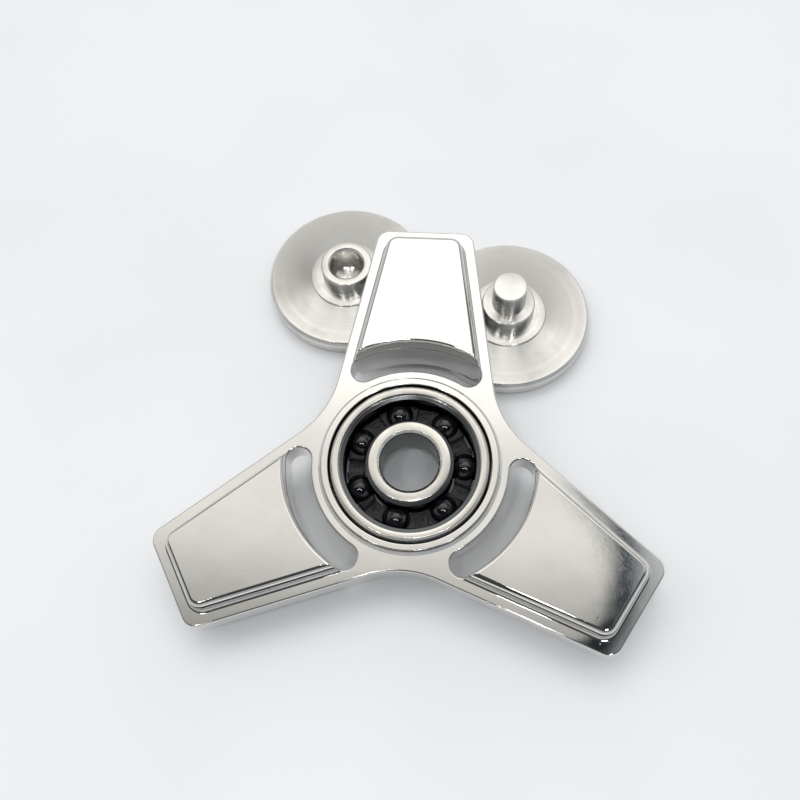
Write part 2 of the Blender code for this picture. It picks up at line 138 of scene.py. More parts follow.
class NodeWriter:
    """Adds nodes to a material's or the room's node tree."""

    MIX_SHARE = 0
    MIX_FIRST = 6
    MIX_SECOND = 7
    MIX_RESULT = 2

    def __init__(self, tree: bpy.types.NodeTree) -> None:
        """Start writing.

        Args:
            tree: The node tree to write into.
        """
        self.tree = tree

    def node(
        self, kind: str, settings: dict[str, Any], inputs: dict[Any, Any], output: Union[str, int]
    ) -> Signal:
        """Add any node.

        Args:
            kind: The node's type.
            settings: Its properties, set before its sockets.
            inputs: Numbers, colours or signals by socket name or index.
            output: The name or index of the socket to go on with.

        Returns:
            That socket as a signal.
        """
        made = self.tree.nodes.new(kind)
        for key, value in settings.items():
            setattr(made, key, value)
        for key, value in inputs.items():
            self.feed(made.inputs[key], value)
        return Signal(self, made.outputs[output])

    def feed(self, socket: bpy.types.NodeSocket, value: Any) -> None:
        """Give a socket a number, a colour or a link.

        Args:
            socket: The input socket.
            value: What it gets.
        """
        if isinstance(value, Signal):
            self.tree.links.new(value.socket, socket)
        elif isinstance(value, tuple) and socket.type == "RGBA":
            socket.default_value = (*value, 1.0)
        else:
            socket.default_value = value

    def maths(self, operation: str, first: Number, second: Number = 0.0) -> Signal:
        """One Math node on two values."""
        return self.node("ShaderNodeMath", {"operation": operation}, {0: first, 1: second}, "Value")

    def vector(self, operation: str, first: Any, second: Any, output: str = "Vector") -> Signal:
        """One Vector Math node on two vectors."""
        settings = {"operation": operation}
        return self.node("ShaderNodeVectorMath", settings, {0: first, 1: second}, output)

    def place(self) -> Signal:
        """The point on the surface, in the shared frame."""
        return self.node("ShaderNodeTexCoord", {}, {}, "Object")

    def way(self) -> Signal:
        """For the room: the direction that it is seen in."""
        return self.node("ShaderNodeTexCoord", {}, {}, "Generated")

    def noise(
        self, where: Signal, size: float, detail: float = 2.0, roughness: float = 0.5
    ) -> Signal:
        """A smooth noise value around 0.5.

        Args:
            where: The vector that it is read at.
            size: The size of its patches.
            detail: How many finer layers it has.
            roughness: How strong the finer layers are.

        Returns:
            The value.
        """
        inputs = {"Vector": where, "Scale": 1.0 / size, "Detail": detail, "Roughness": roughness}
        return self.node("ShaderNodeTexNoise", {"noise_dimensions": "3D"}, inputs, "Fac")

    def line_noise(self, along: Signal, size: float, detail: float = 2.0) -> Signal:
        """A noise value that varies along one distance only, in stretches of a size."""
        inputs = {"W": along, "Scale": 1.0 / size, "Detail": detail}
        return self.node("ShaderNodeTexNoise", {"noise_dimensions": "1D"}, inputs, "Fac")

    def blend(self, share: Number, first: Any, second: Any) -> Signal:
        """A colour between two colours.

        Args:
            share: 0 for the first colour, and 1 for the second.
            first: A colour or a signal.
            second: A colour or a signal.

        Returns:
            The blended colour.
        """
        inputs = {self.MIX_SHARE: share, self.MIX_FIRST: first, self.MIX_SECOND: second}
        return self.node("ShaderNodeMix", {"data_type": "RGBA"}, inputs, self.MIX_RESULT)

    def bump(self, height: Signal, distance: float = 1.0) -> Signal:
        """A normal that is bent by a height."""
        return self.node("ShaderNodeBump", {}, {"Height": height, "Distance": distance}, "Normal")


class ShaderKit(NodeWriter):
    """Builds one material with a Principled shader."""

    def __init__(self, name: str) -> None:
        """Start a material.

        Args:
            name: The material's name.
        """
        self.material = bpy.data.materials.new(name)
        self.material.use_nodes = True
        super().__init__(self.material.node_tree)
        self.shader = self.tree.nodes["Principled BSDF"]

    def finish(self, **sockets: Any) -> bpy.types.Material:
        """Feed the shader's sockets, whose spaces are written as underscores.

        Returns:
            The finished material.
        """
        for name, value in sockets.items():
            self.feed(self.shader.inputs[name.replace("_", " ")], value)
        return self.material


def placed(name: str, data: Any) -> bpy.types.Object:
    """A new object of the scene that carries a mesh, a light or a camera."""
    obj = bpy.data.objects.new(name, data)
    bpy.context.scene.collection.objects.link(obj)
    return obj


@dataclass(frozen=True)
class Axle:
    """A turning axis: a point on it and its direction."""

    centre: Vector
    axis: Vector

    @property
    def matrix(self) -> Matrix:
        """Turns and moves a shape from the Z axis onto this axis, keeping X level."""
        across = Vector((1.0, 0.0, 0.0))
        back = self.axis.cross(across).normalized()
        turn = Matrix((across, back, self.axis)).transposed()
        return Matrix.Translation(self.centre) @ turn.to_4x4()

    def height(self, kit: ShaderKit) -> Signal:
        """How far along the axis the surface point is."""
        offset = kit.vector("SUBTRACT", kit.place(), tuple(self.centre))
        return kit.vector("DOT_PRODUCT", offset, tuple(self.axis), "Value")

    def radius(self, kit: ShaderKit) -> Signal:
        """How far from the axis the surface point is."""
        offset = kit.vector("SUBTRACT", kit.place(), tuple(self.centre))
        sideways = kit.vector("CROSS_PRODUCT", offset, tuple(self.axis))
        return kit.node("ShaderNodeVectorMath", {"operation": "LENGTH"}, {0: sideways}, "Value")


# ---------------------------------------------------------------- finishes
@dataclass(frozen=True)
class PolishedSteel:
    """Hand-polished stainless steel: nearly a mirror, with soft waves and fine brush marks."""

    clean: Colour = (0.83, 0.82, 0.79)
    hazy: Colour = (0.79, 0.78, 0.75)
    smooth: float = 0.03
    rough: float = 0.08
    haze_size: float = 9.0 * MM
    haze_cut: Span = (0.42, 0.68)
    wave_size: float = 6.0 * MM
    wave_height: float = 0.012 * MM
    scratch_angle: float = math.radians(38.0)
    scratch_width: float = 0.05 * MM
    scratch_length: float = 2.5 * MM
    scratch_share: float = 1.4
    speck_size: float = 0.9 * MM
    speck_cut: Span = (0.70, 0.76)
    speck_rough: float = 0.08
    mark_depth: float = 0.0012 * MM

    def material(self, name: str) -> bpy.types.Material:
        """Build the material.

        Args:
            name: The material's name.

        Returns:
            The material.
        """
        kit = ShaderKit(name)
        where = kit.place()
        haze = kit.noise(where, self.haze_size, *SOFT_LAYERS).between(*self.haze_cut)
        wave = kit.noise(where, self.wave_size, 1.0)
        slanted = kit.node(
            "ShaderNodeMapping",
            {"vector_type": "TEXTURE"},
            {
                "Vector": where,
                "Rotation": (0.0, 0.0, self.scratch_angle),
                "Scale": (self.scratch_width, self.scratch_length, self.scratch_width),
            },
            "Vector",
        )
        marks = kit.noise(slanted, 1.0, 3.0, 0.65)
        speck = kit.noise(where, self.speck_size).between(*self.speck_cut)
        height = wave * self.wave_height + marks * self.mark_depth - speck * self.mark_depth
        brushed = haze * (self.rough - self.smooth) * marks * self.scratch_share
        roughness = self.smooth + brushed + speck * self.speck_rough
        return kit.finish(
            Base_Color=kit.blend(haze, self.clean, self.hazy),
            Metallic=1.0,
            Roughness=roughness,
            Normal=kit.bump(height),
        )


@dataclass(frozen=True)
class TurnedSteel:
    """Stainless steel from a lathe: fine rings round an axis that spread its highlights.

    Painted shade bands are spans of radius darkened to stand in for the shade in recesses and
    between parts.
    """

    axle: Axle
    clean: Colour = (0.80, 0.79, 0.76)
    dull: Colour = (0.68, 0.67, 0.64)
    smooth: float = 0.20
    rough: float = 0.32
    spread: float = 0.75
    round_grooves: float = 0.25
    ring_width: float = 0.09 * MM
    ring_height: float = 0.0008 * MM
    face_slant: float = 0.7
    band_width: float = 1.7 * MM
    band_cut: Span = (0.35, 0.65)
    band_share: float = 0.25
    stain_size: float = 5.0 * MM
    stain_cut: Span = (0.45, 0.75)
    stain_share: float = 0.55
    # painted shade: the dark colour given to the painted shade bands
    painted_shade: Colour = (0.11, 0.115, 0.12)
    painted_shade_bands: tuple[Span, ...] = ()

    def material(self, name: str) -> bpy.types.Material:
        """Build the material.

        Args:
            name: The material's name.

        Returns:
            The material.
        """
        kit = ShaderKit(name)
        radius = self.axle.radius(kit)
        distance = radius + self.axle.height(kit) * self.face_slant
        rings = kit.line_noise(distance, self.ring_width, 3.0)
        bands = kit.line_noise(distance, self.band_width).between(*self.band_cut)
        stain = kit.noise(kit.place(), self.stain_size, *SOFT_LAYERS).between(*self.stain_cut)
        share = (bands * self.band_share + stain * self.stain_share).clamp()
        colour = kit.blend(share, self.clean, self.dull)
        # painted shade: darken the colour in each listed span of radius
        for low, high in self.painted_shade_bands:
            band = radius.above(low) * (1.0 - radius.above(high))
            colour = kit.blend(band, colour, self.painted_shade)
        return kit.finish(
            Base_Color=colour,
            Metallic=1.0,
            Roughness=self.smooth + share * (self.rough - self.smooth),
            Anisotropic=self.spread,
            Anisotropic_Rotation=self.round_grooves,
            Normal=kit.bump(rings * self.ring_height),
        )


@dataclass(frozen=True)
class BlackCeramic:
    """Black silicon nitride: deep gloss with a trace of grease."""

    body: Colour = (0.002, 0.0025, 0.004)
    film: Colour = (0.010, 0.011, 0.014)
    smooth: float = 0.05
    greasy: float = 0.07
    film_size: float = 0.8 * MM
    film_cut: Span = (0.45, 0.7)
    refraction: float = 1.7

    def material(self, name: str) -> bpy.types.Material:
        """Build the material.

        Args:
            name: The material's name.

        Returns:
            The material.
        """
        kit = ShaderKit(name)
        grease = kit.noise(kit.place(), self.film_size, *SOFT_LAYERS).between(*self.film_cut)
        return kit.finish(
            Base_Color=kit.blend(grease, self.body, self.film),
            Roughness=self.smooth + grease * self.greasy,
            IOR=self.refraction,
        )


@dataclass(frozen=True)
class MouldedPlastic:
    """Black moulded nylon with a faint grain, and a painted lighter sheen in patches on the floors
    of its gaps that stands in for their reflection of the room.
    """

    axle: Axle
    gap_floor: float
    floor_sheen_height: float = 0.1 * MM
    body: Colour = (0.004, 0.0045, 0.006)
    worn: Colour = (0.016, 0.017, 0.020)
    painted_floor_sheen: Colour = (0.075, 0.080, 0.082)
    least_floor_sheen: float = 0.4
    smooth: float = 0.24
    dull: float = 0.14
    shine: float = 0.3
    grain_size: float = 0.12 * MM
    grain_height: float = 0.006 * MM
    patch_size: float = 1.4 * MM
    patch_cut: Span = (0.4, 0.7)

    def material(self, name: str) -> bpy.types.Material:
        """Build the material.

        Args:
            name: The material's name.

        Returns:
            The material.
        """
        kit = ShaderKit(name)
        grain = kit.noise(kit.place(), self.grain_size)
        patch = kit.noise(kit.place(), self.patch_size).between(*self.patch_cut)
        # painted reflection: the floors of the gaps are lightened in patches to stand in for the
        # room that they mirror
        above_floor = (self.axle.height(kit) + self.gap_floor).above(self.floor_sheen_height)
        floor_sheen = (1.0 - above_floor) * (self.least_floor_sheen + patch * (1.0 - self.least_floor_sheen))
        return kit.finish(
            Base_Color=kit.blend(floor_sheen, kit.blend(patch, self.body, self.worn), self.painted_floor_sheen),
            Roughness=self.smooth + patch * self.dull,
            Specular_IOR_Level=self.shine,
            Normal=kit.bump(grain, self.grain_height),
        )


@dataclass(frozen=True)
class TableSheet:
    """Pale smooth sheet that the object lies on."""

    pale: Colour = (0.80, 0.815, 0.835)
    shade: Colour = (0.775, 0.79, 0.81)
    cloud_size: float = 45.0 * MM
    cloud_cut: Span = (0.35, 0.65)
    roughness: float = 0.42
    shine: float = 0.25

    def material(self, name: str) -> bpy.types.Material:
        """Build the material.

        Args:
            name: The material's name.

        Returns:
            The material.
        """
        kit = ShaderKit(name)
        cloud = kit.noise(kit.place(), self.cloud_size).between(*self.cloud_cut)
        return kit.finish(
            Base_Color=kit.blend(cloud, self.pale, self.shade),
            Roughness=self.roughness,
            Specular_IOR_Level=self.shine,
        )


# ---------------------------------------------------------------- outlines and meshes
class Plane(Enum):
    """The plane that an outline is drawn in, as the axis that it turns about."""

    FLAT = UP
    UPRIGHT = (0.0, -1.0, 0.0)

    def point(self, x: float, y: float) -> Vector:
        """A point of the plane: upright planes use X and Z."""
        if self is Plane.FLAT:
            return Vector((x, y, 0.0))
        return Vector((x, 0.0, y))


@dataclass(frozen=True)
class Corner:
    """One corner of an outline, and the radius and steps that round it."""

    x: float
    y: float
    radius: float = 0.0
    steps: int = 6


def mirrored(upper: list[Corner]) -> list[Corner]:
    """The corners of a half section's lower half, from those of its upper half."""
    return [Corner(each.x, -each.y, each.radius, each.steps) for each in reversed(upper)]


class Pen:
    """Draws lines and arcs into a mesh by extruding and spinning its last vertex."""

    def __init__(self, work: bmesh.types.BMesh, plane: Plane, x: float, y: float) -> None:
        """Put the pen down.

        Args:
            work: The mesh to draw into.
            plane: The plane to draw in.
            x: First coordinate of the start.
            y: Second coordinate of the start.
        """
        self.work = work
        self.plane = plane
        self.tip = work.verts.new(plane.point(x, y))

    def line(self, x: float, y: float) -> None:
        """Draw a straight line to a point."""
        made = bmesh.ops.extrude_vert_indiv(self.work, verts=[self.tip])
        target = self.plane.point(x, y)
        bmesh.ops.translate(self.work, verts=made["verts"], vec=target - made["verts"][0].co)
        self.tip = made["verts"][0]

    def arc(self, centre: tuple[float, float], angle: float, steps: int) -> None:
        """Draw an arc round a centre, anticlockwise for a positive angle."""
        made = bmesh.ops.spin(
            self.work,
            geom=[self.tip],
            cent=self.plane.point(*centre),
            axis=self.plane.value,
            dvec=NOWHERE,
            angle=angle,
            steps=steps,
            use_merge=False,
            use_duplicate=False,
        )
        self.tip = next(item for item in made["geom_last"] if isinstance(item, bmesh.types.BMVert))


@dataclass(frozen=True)
class Outline:
    """A run of corners, each sharp or rounded."""

    corners: tuple[Corner, ...]
    plane: Plane = Plane.FLAT
    closed: bool = True

    def draw(self, work: bmesh.types.BMesh) -> None:
        """Draw the outline as edges.

        Args:
            work: The mesh to draw into.
        """
        places = [Vector((corner.x, corner.y)) for corner in self.corners]
        count = len(places)
        start = (places[-1] + places[0]) / 2 if self.closed else places[0]
        pen = Pen(work, self.plane, *start)
        for index in range(0 if self.closed else 1, count if self.closed else count - 1):
            self.turn(pen, places[index - 1], self.corners[index], places[(index + 1) % count])
        pen.line(*(start if self.closed else places[-1]))
        bmesh.ops.remove_doubles(work, verts=work.verts, dist=MERGE)

    @staticmethod
    def turn(pen: Pen, before: Vector, corner: Corner, after: Vector) -> None:
        """Draw up to a corner and round it.

        Args:
            pen: The pen.
            before: The corner before.
            corner: The corner to draw.
            after: The corner after.
        """
        place = Vector((corner.x, corner.y))
        if corner.radius == 0.0:
            pen.line(*place)
            return
        inwards = (place - before).normalized()
        outwards = (after - place).normalized()
        turning = math.atan2(inwards.x * outwards.y - inwards.y * outwards.x, inwards.dot(outwards))
        start = place - inwards * corner.radius * math.tan(abs(turning) / 2)
        square = Vector((-inwards.y, inwards.x)) * math.copysign(corner.radius, turning)
        pen.line(*start)
        pen.arc(tuple(start + square), turning, corner.steps)


def spun(work: bmesh.types.BMesh, angle: float, steps: int, copies: bool) -> None:
    """Spin everything in a mesh about the Z axis.

    Args:
        work: The mesh.
        angle: How far it turns.
        steps: In how many steps.
        copies: Whether each step leaves a copy, or a full turn becomes one surface.
    """
    bmesh.ops.spin(
        work,
        geom=work.verts[:] + work.edges[:] + work.faces[:],
        cent=NOWHERE,
        axis=UP,
        dvec=NOWHERE,
        angle=angle,
        steps=steps,
        use_merge=not copies,
        use_duplicate=copies,
    )


def turned(section: Outline, steps: int) -> bmesh.types.BMesh:
    """Turn a half section about the Z axis.

    Args:
        section: Upright outline, closed for a ring and open from pole to pole otherwise.
        steps: How many steps a full turn has.

    Returns:
        The closed shape.
    """
    work = bmesh.new()
    section.draw(work)
    spun(work, FULL_TURN, steps, False)
    bmesh.ops.remove_doubles(work, verts=work.verts, dist=MERGE)
    bmesh.ops.recalc_face_normals(work, faces=work.faces)
    return work


def around(work: bmesh.types.BMesh, count: int) -> None:
    """Repeat everything in a mesh round the Z axis, evenly.

    Args:
        work: The mesh.
        count: How many there are in the end.
    """
    spun(work, FULL_TURN * (count - 1) / count, count - 1, True)


def raise_faces(
    work: bmesh.types.BMesh, faces: list[bmesh.types.BMFace], height: float
) -> None:
    """Extrude flat faces straight up.

    Args:
        work: The mesh.
        faces: Its faces to raise.
        height: How far they go.
    """
    raised = bmesh.ops.extrude_face_region(work, geom=faces)
    lifted = [item for item in raised["geom"] if isinstance(item, bmesh.types.BMVert)]
    bmesh.ops.translate(work, verts=lifted, vec=(0.0, 0.0, height))


def absorb(work: bmesh.types.BMesh, other: bmesh.types.BMesh) -> None:
    """Move another mesh's shapes into this one.

    Args:
        work: The mesh that grows.
        other: The mesh that is used up.
    """
    carrier = bpy.data.meshes.new("carrier")
    other.to_mesh(carrier)
    other.free()
    work.from_mesh(carrier)
    bpy.data.meshes.remove(carrier)


def carved(work: bmesh.types.BMesh, tool: bmesh.types.BMesh) -> bmesh.types.BMesh:
    """Cut a tool's shape out of a mesh.

    Args:
        work: The mesh to cut, used up.
        tool: The closed shape to take away, used up.

    Returns:
        The mesh that is left.
    """
    holders = []
    for shape, name in ((work, "blank"), (tool, "tool")):
        mesh = bpy.data.meshes.new(name)
        shape.to_mesh(mesh)
        shape.free()
        holders.append(placed(name, mesh))
    blank, cutter = holders
    boolean = blank.modifiers.new("cut", "BOOLEAN")
    boolean.operation = "DIFFERENCE"
    boolean.solver = "EXACT"
    boolean.object = cutter
    result = bmesh.new()
    result.from_object(blank, bpy.context.evaluated_depsgraph_get())
    for holder in holders:
        mesh = holder.data
        bpy.data.objects.remove(holder, do_unlink=True)
        bpy.data.meshes.remove(mesh)
    return result


def soften(
    work: bmesh.types.BMesh, edges: Iterable[bmesh.types.BMEdge], width: float, segments: int
) -> None:
    """Round edges.

    Args:
        work: The mesh.
        edges: Its edges to round.
        width: How far the rounding reaches.
        segments: How many facets it has.
    """
    bmesh.ops.bevel(
        work,
        geom=list(edges),
        offset=width,
        offset_type="OFFSET",
        segments=segments,
        profile=0.5,
        affect="EDGES",
        clamp_overlap=False,
        material=-1,
    )


@dataclass(frozen=True)
class Piece:
    """Where a finished piece belongs: its name, body, CAD node and material slot."""

    name: str
    body: str
    node: str
    slot: str

    def make(
        self, work: bmesh.types.BMesh, place: Matrix, material: bpy.types.Material
    ) -> bpy.types.Object:
        """Turn a mesh into the finished piece.

        Args:
            work: The mesh about its own Z axis, used up.
            place: Takes it to its place in the shared frame.
            material: Its material.

        Returns:
            The object, standing at the origin with its place in its mesh.
        """
        bmesh.ops.transform(work, matrix=place, verts=work.verts)
        mesh = bpy.data.meshes.new(self.name)
        work.to_mesh(mesh)
        work.free()
        mesh.shade_smooth()
        mesh.set_sharp_from_angle(angle=SHARP_ANGLE)
        mesh.materials.append(material)
        obj = placed(self.name, mesh)
        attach(obj, self.body)
        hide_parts(self.node)
        LOG.info("%s: %d faces, rides on %s", self.name, len(mesh.polygons), self.body)
        return obj


# ---------------------------------------------------------------- three-arm body
@dataclass
class ThreeArmBody:
    """The one-piece steel body: plate, six raised pads and the hub ring."""

    axle: Axle
    finish: PolishedSteel = field(default_factory=PolishedSteel)
    arms: int = 3
    reach: float = 35.7 * MM
    root_half_width: float = 12.959 * MM
    taper: float = 0.168
    crotch_radius: float = 13.5 * MM
    tip_radius: float = 2.0 * MM
    thickness: float = 4.3 * MM
    rim: float = 0.25 * MM
    rim_margin: float = 0.2 * MM
    slot_inner: float = 13.5 * MM
    slot_outer: float = 17.0 * MM
    slot_half_angle: float = math.radians(29.0)
    seat: float = 11.12 * MM
    hub_top: float = 12.0 * MM
    hub_foot: float = 12.5 * MM
    hub_height: float = 1.0 * MM
    hub_root: float = 0.3 * MM
    pad_margin: float = 1.35 * MM
    pad_height: float = 2.4 * MM
    pad_root: float = 0.8 * MM
    pad_root_gap: float = 0.002 * MM
    pad_overhang: float = 1.0 * MM
    pad_tip_radius: float = 2.4 * MM
    pad_foot_round: float = 0.5 * MM
    pad_top_round: float = 0.7 * MM
    pad_wall_angle: float = math.radians(85.0)
    pad_slot_edge: float = 17.06 * MM
    pad_slot_round: float = 0.45 * MM
    pad_slot_depth: float = 0.6 * MM
    pad_tool: float = 20.0 * MM

    @property
    def face(self) -> float:
        """Height of the plate's upper face above its middle."""
        return self.thickness / 2

    def side(self, y: float, inset: float = 0.0) -> float:
        """Half width of an arm at a distance from the axis, less an inset square to its side."""
        return self.root_half_width - self.taper * y - inset * math.hypot(1.0, self.taper)

    def plate_outline(self) -> Outline:
        """Outline of the whole plate, with rounded tips and crotches."""
        step = FULL_TURN / self.arms
        crotch_angle = math.pi / 2 - step / 2
        share = math.cos(crotch_angle) + self.taper * math.sin(crotch_angle)
        valley = Vector((math.cos(crotch_angle), math.sin(crotch_angle)))
        valley *= self.root_half_width / share
        corners = []
        for index in range(self.arms):
            turn = Matrix.Rotation(index * step, 2)
            for point, radius, steps in (
                (valley, self.crotch_radius, 16),
                (Vector((self.side(self.reach), self.reach)), self.tip_radius, 12),
                (Vector((-self.side(self.reach), self.reach)), self.tip_radius, 12),
            ):
                place = turn @ point
                corners.append(Corner(place.x, place.y, radius, steps))
        return Outline(tuple(corners))

    def draw_slot(self, work: bmesh.types.BMesh) -> None:
        """Draw the back arm's crescent slot.

        Args:
            work: The mesh to draw into.
        """
        middle = (self.slot_inner + self.slot_outer) / 2
        first = math.pi / 2 - self.slot_half_angle
        last = math.pi / 2 + self.slot_half_angle
        start = (self.slot_outer * math.cos(first), self.slot_outer * math.sin(first))
        pen = Pen(work, Plane.FLAT, *start)
        pen.arc((0.0, 0.0), last - first, 32)
        pen.arc((middle * math.cos(last), middle * math.sin(last)), math.pi, 14)
        pen.arc((0.0, 0.0), first - last, 32)
        pen.arc((middle * math.cos(first), middle * math.sin(first)), math.pi, 14)
        bmesh.ops.remove_doubles(work, verts=work.verts, dist=MERGE)

    def plate(self) -> bmesh.types.BMesh:
        """The plate with its slots and the hole under the hub ring."""
        work = bmesh.new()
        self.draw_slot(work)
        around(work, self.arms)
        self.plate_outline().draw(work)
        hole = (self.seat + self.hub_foot) / 2
        bmesh.ops.create_circle(work, cap_ends=False, radius=hole, segments=96)
        bmesh.ops.triangle_fill(work, use_beauty=True, use_dissolve=False, edges=work.edges)
        bmesh.ops.dissolve_limit(
            work, angle_limit=FLAT_ANGLE, verts=work.verts, edges=work.edges
        )
        bmesh.ops.translate(work, verts=work.verts, vec=(0.0, 0.0, -self.face))
        raise_faces(work, work.faces[:], self.thickness)
        bmesh.ops.recalc_face_normals(work, faces=work.faces)
        rims = [edge for edge in work.edges if self.is_rim(edge, hole + self.rim_margin)]
        soften(work, rims, self.rim, 3)
        return work

    @staticmethod
    def is_rim(edge: bmesh.types.BMEdge, inside: float) -> bool:
        """Whether an edge is level, square and further out than a radius."""
        first, last = (vert.co for vert in edge.verts)
        if edge.calc_face_angle(0.0) <= SQUARE_ANGLE:
            return False
        return abs(first.z - last.z) < MERGE and first.xy.length > inside

    def pad_steps(self) -> list[tuple[float, float]]:
        """How far each ring of a pad's edge goes inwards and up, from foot to top."""
        steps = []
        wall = self.pad_wall_angle
        for radius, begin, end, count in (
            (self.pad_foot_round, 0.0, wall, 6),
            (self.pad_top_round, wall, 0.0, 9),
        ):
            sign = 1.0 if begin == 0.0 else -1.0
            if sign < 0.0:
                rounded = (self.pad_foot_round + radius) * (1.0 - math.cos(wall))
                straight = self.pad_height - rounded
                steps.append((straight / math.tan(wall), straight))
            for index in range(count):
                low = begin + (end - begin) * index / count
                high = begin + (end - begin) * (index + 1) / count
                inwards = sign * radius * (math.sin(high) - math.sin(low))
                steps.append((inwards, sign * radius * (math.cos(low) - math.cos(high))))
        return steps

    def pad(self) -> bmesh.types.BMesh:
        """The back arm's upper pad, rounded like an S all round and cut off along its slot."""
        inner = self.slot_inner - self.pad_overhang
        tip = self.reach - self.pad_margin
        near = self.side(inner, self.pad_margin)
        far = self.side(tip, self.pad_margin)
        outline = Outline(
            (
                Corner(near, inner),
                Corner(far, tip, self.pad_tip_radius, 14),
                Corner(-far, tip, self.pad_tip_radius, 14),
                Corner(-near, inner),
            )
        )
        work = bmesh.new()
        outline.draw(work)
        made = bmesh.ops.contextual_create(work, geom=work.edges[:])
        sunk = self.face - self.pad_root
        bmesh.ops.translate(work, verts=work.verts, vec=(0.0, 0.0, sunk))
        raise_faces(work, made["faces"], self.pad_root - self.pad_root_gap)
        bmesh.ops.recalc_face_normals(work, faces=work.faces)
        top = max(work.faces, key=lambda each: each.calc_center_median().z)
        for inwards, upwards in self.pad_steps():
            bmesh.ops.inset_region(
                work,
                faces=[top],
                thickness=inwards,
                depth=upwards,
                use_boundary=True,
                use_even_offset=True,
            )
        tool = bmesh.new()
        bmesh.ops.create_cone(
            tool,
            cap_ends=True,
            segments=256,
            radius1=self.pad_slot_edge,
            radius2=self.pad_slot_edge,
            depth=self.pad_tool,
        )
        work = carved(work, tool)
        bmesh.ops.remove_doubles(work, verts=work.verts, dist=MERGE)
        cut = [edge for edge in work.edges if self.is_slot_edge(edge)]
        soften(work, cut, self.pad_slot_round, 4)
        return work

    def is_slot_edge(self, edge: bmesh.types.BMEdge) -> bool:
        """Whether an edge is where the pad's top was cut along the slot."""
        for vert in edge.verts:
            if abs(vert.co.xy.length - self.pad_slot_edge) > NEAR:
                return False
            if vert.co.z < self.face + self.pad_slot_depth:
                return False
        return edge.calc_face_angle(0.0) > CREASE_ANGLE

    def hub(self) -> bmesh.types.BMesh:
        """The ring around the bearing seat, with a hollow sloping outer wall on both faces."""
        top = self.face + self.hub_height
        foot = self.face - self.hub_root
        upper = [
            Corner(self.seat, top, 0.1 * MM, 3),
            Corner(self.seat + 0.18 * MM, top),
            Corner(self.hub_top - 0.16 * MM, top),
            Corner(self.hub_top, top, 0.08 * MM, 3),
            Corner(self.hub_top + 0.12 * MM, self.face + 0.25 * MM, 0.3 * MM, 4),
            Corner(self.hub_foot, self.face),
            Corner(self.hub_foot, foot),
        ]
        return turned(Outline(tuple(upper + mirrored(upper)), Plane.UPRIGHT), WIDE_TURN)

    def build(self) -> bpy.types.Object:
        """Model and dress the body.

        Returns:
            The finished object.
        """
        work = bmesh.new()
        pads = self.pad()
        around(pads, self.arms)
        absorb(work, pads)
        shapes = work.verts[:] + work.edges[:] + work.faces[:]
        bmesh.ops.mirror(work, geom=shapes, axis="Z", merge_dist=-1.0)
        absorb(work, self.plate())
        absorb(work, self.hub())
        bmesh.ops.recalc_face_normals(work, faces=work.faces)
        piece = Piece("three_arm_body", "body", "spinner_body", "body_steel")
        obj = piece.make(work, self.axle.matrix, self.finish.material("polished_steel"))
        weighted = obj.modifiers.new("flat_faces", "WEIGHTED_NORMAL")
        weighted.keep_sharp = True
        weighted.thresh = 0.0
        return obj


